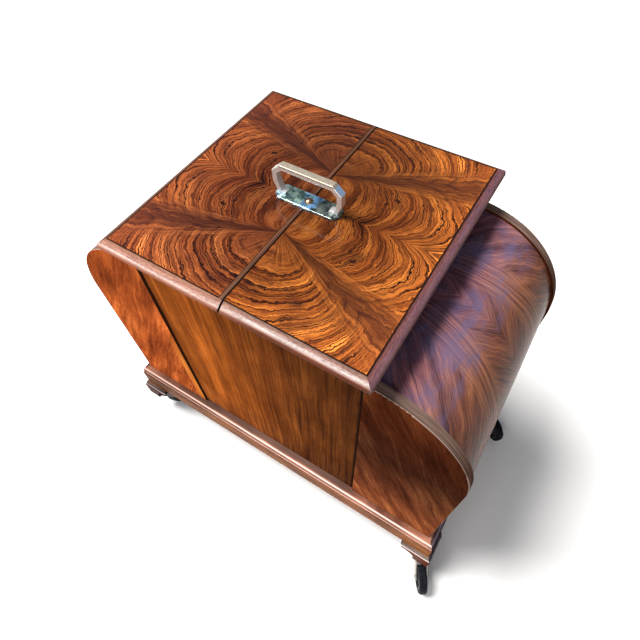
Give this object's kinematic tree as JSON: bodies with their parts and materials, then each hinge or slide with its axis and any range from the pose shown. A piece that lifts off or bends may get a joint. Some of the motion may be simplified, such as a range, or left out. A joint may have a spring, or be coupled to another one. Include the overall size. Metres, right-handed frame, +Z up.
{
  "type": "cellarette",
  "caption": "Walnut drinks cabinet on castors: a centre box whose handle lifts a bottle caddy and opens the two-leaf lid, with quarter-round wings that swing out.",
  "frame": {"origin": "on the floor, below the middle of the body", "axes": "+X to the object's right seen from the front, +Y to its back, +Z up"},
  "size_m": [0.9852, 0.5959, 0.9105],
  "materials": {
    "lid_veneer": "gloss",
    "moulding_wood": "gloss",
    "seam_wood": "gloss",
    "panel_veneer": "gloss",
    "wing_veneer": "gloss",
    "curve_veneer": "gloss",
    "plinth_wood": "satin",
    "inner_wood": "satin",
    "chrome_metal": "polished",
    "brass_metal": "polished",
    "steel_metal": "satin",
    "hub_paint": "satin",
    "tyre_rubber": "matte"
  },
  "bodies": {
    "cabinet": {"plinth_top_board": "plinth_wood", "plinth_rails": "plinth_wood", "foot_front_left": "plinth_wood", "foot_front_right": "plinth_wood", "foot_back_left": "plinth_wood", "foot_back_right": "plinth_wood", "castor_sockets": "steel_metal", "front_panel": "panel_veneer", "back_panel": "panel_veneer", "left_side_panel": "panel_veneer", "right_side_panel": "panel_veneer", "caddy_guides": "inner_wood", "lid_hinge_frame_leaves": "brass_metal", "lid_hinge_pins": "brass_metal", "wing_hinge_frame_leaves": "brass_metal", "wing_hinge_pins": "brass_metal"},
    "left_lid": {"left_lid_panel": "lid_veneer", "left_lid_moulding": "moulding_wood", "left_lid_hinge_leaves": "brass_metal", "lid_seam_bead": "seam_wood"},
    "right_lid": {"right_lid_panel": "lid_veneer", "right_lid_moulding": "moulding_wood", "right_lid_hinge_leaves": "brass_metal"},
    "caddy": {"caddy_tray": "inner_wood", "caddy_front_gable": "inner_wood", "caddy_back_gable": "inner_wood", "caddy_ridge_rail": "inner_wood", "caddy_glass_shelf": "inner_wood", "caddy_rails": "brass_metal", "lift_post": "steel_metal", "handle_plate": "chrome_metal", "handle_grip": "chrome_metal", "handle_screw": "steel_metal"},
    "left_wing": {"left_wing_front_board": "wing_veneer", "left_wing_back_board": "wing_veneer", "left_wing_curved_panel": "curve_veneer", "left_wing_floor": "inner_wood", "left_wing_shelf": "inner_wood", "left_wing_rails": "brass_metal", "left_wing_hinge_leaves": "brass_metal"},
    "right_wing": {"right_wing_front_board": "wing_veneer", "right_wing_back_board": "wing_veneer", "right_wing_curved_panel": "curve_veneer", "right_wing_floor": "inner_wood", "right_wing_shelf": "inner_wood", "right_wing_rails": "brass_metal", "right_wing_hinge_leaves": "brass_metal"},
    "front_left_fork": {"front_left_castor_fork": "steel_metal"},
    "front_left_wheel": {"front_left_castor_hub": "hub_paint", "front_left_castor_tyre": "tyre_rubber"},
    "front_right_fork": {"front_right_castor_fork": "steel_metal"},
    "front_right_wheel": {"front_right_castor_hub": "hub_paint", "front_right_castor_tyre": "tyre_rubber"},
    "back_left_fork": {"back_left_castor_fork": "steel_metal"},
    "back_left_wheel": {"back_left_castor_hub": "hub_paint", "back_left_castor_tyre": "tyre_rubber"},
    "back_right_fork": {"back_right_castor_fork": "steel_metal"},
    "back_right_wheel": {"back_right_castor_hub": "hub_paint", "back_right_castor_tyre": "tyre_rubber"}
  },
  "joints": [
    {"name": "caddy_lift", "type": "slide", "parent": "cabinet", "child": "caddy", "axis": [0, 0, 1], "range_m": [0, 0.392]},
    {"name": "left_lid_hinge", "type": "hinge", "parent": "cabinet", "child": "left_lid", "pos_m": [-0.2225, -0.0045, 0.8165], "axis": [0, -1, 0], "range_deg": [0, 100]},
    {"name": "right_lid_hinge", "type": "hinge", "parent": "cabinet", "child": "right_lid", "pos_m": [0.2225, -0.0045, 0.8165], "axis": [0, 1, 0], "range_deg": [0, 100]},
    {"name": "left_wing_hinge", "type": "hinge", "parent": "cabinet", "child": "left_wing", "pos_m": [-0.2195, 0.2205, 0.505], "axis": [0, 0, -1], "range_deg": [0, 95]},
    {"name": "right_wing_hinge", "type": "hinge", "parent": "cabinet", "child": "right_wing", "pos_m": [0.2195, 0.2205, 0.505], "axis": [0, 0, 1], "range_deg": [0, 95]},
    {"name": "front_left_castor_swivel", "type": "hinge", "parent": "cabinet", "child": "front_left_fork", "pos_m": [-0.427, -0.225, 0.095], "axis": [0, 0, 1], "continuous": true},
    {"name": "front_left_castor_spin", "type": "hinge", "parent": "front_left_fork", "child": "front_left_wheel", "pos_m": [-0.39176, -0.19543, 0.04], "axis": [-0.6428, 0.766, 0], "continuous": true},
    {"name": "front_right_castor_swivel", "type": "hinge", "parent": "cabinet", "child": "front_right_fork", "pos_m": [0.427, -0.225, 0.095], "axis": [0, 0, 1], "continuous": true},
    {"name": "front_right_castor_spin", "type": "hinge", "parent": "front_right_fork", "child": "front_right_wheel", "pos_m": [0.45138, -0.26401, 0.04], "axis": [0.848, 0.5299, 0], "continuous": true},
    {"name": "back_left_castor_swivel", "type": "hinge", "parent": "cabinet", "child": "back_left_fork", "pos_m": [-0.427, 0.225, 0.095], "axis": [0, 0, 1], "continuous": true},
    {"name": "back_left_castor_spin", "type": "hinge", "parent": "back_left_fork", "child": "back_left_wheel", "pos_m": [-0.45657, 0.26024, 0.04], "axis": [-0.766, -0.6428, 0], "continuous": true},
    {"name": "back_right_castor_swivel", "type": "hinge", "parent": "cabinet", "child": "back_right_fork", "pos_m": [0.427, 0.225, 0.095], "axis": [0, 0, 1], "continuous": true},
    {"name": "back_right_castor_spin", "type": "hinge", "parent": "back_right_fork", "child": "back_right_wheel", "pos_m": [0.46275, 0.19605, 0.04], "axis": [0.6293, 0.7771, 0], "continuous": true}
  ],
  "couplings": [
    {"joint": "left_lid_hinge", "follows": "caddy_lift", "rad_per_m": 4.452},
    {"joint": "right_lid_hinge", "follows": "caddy_lift", "rad_per_m": 4.452}
  ]
}
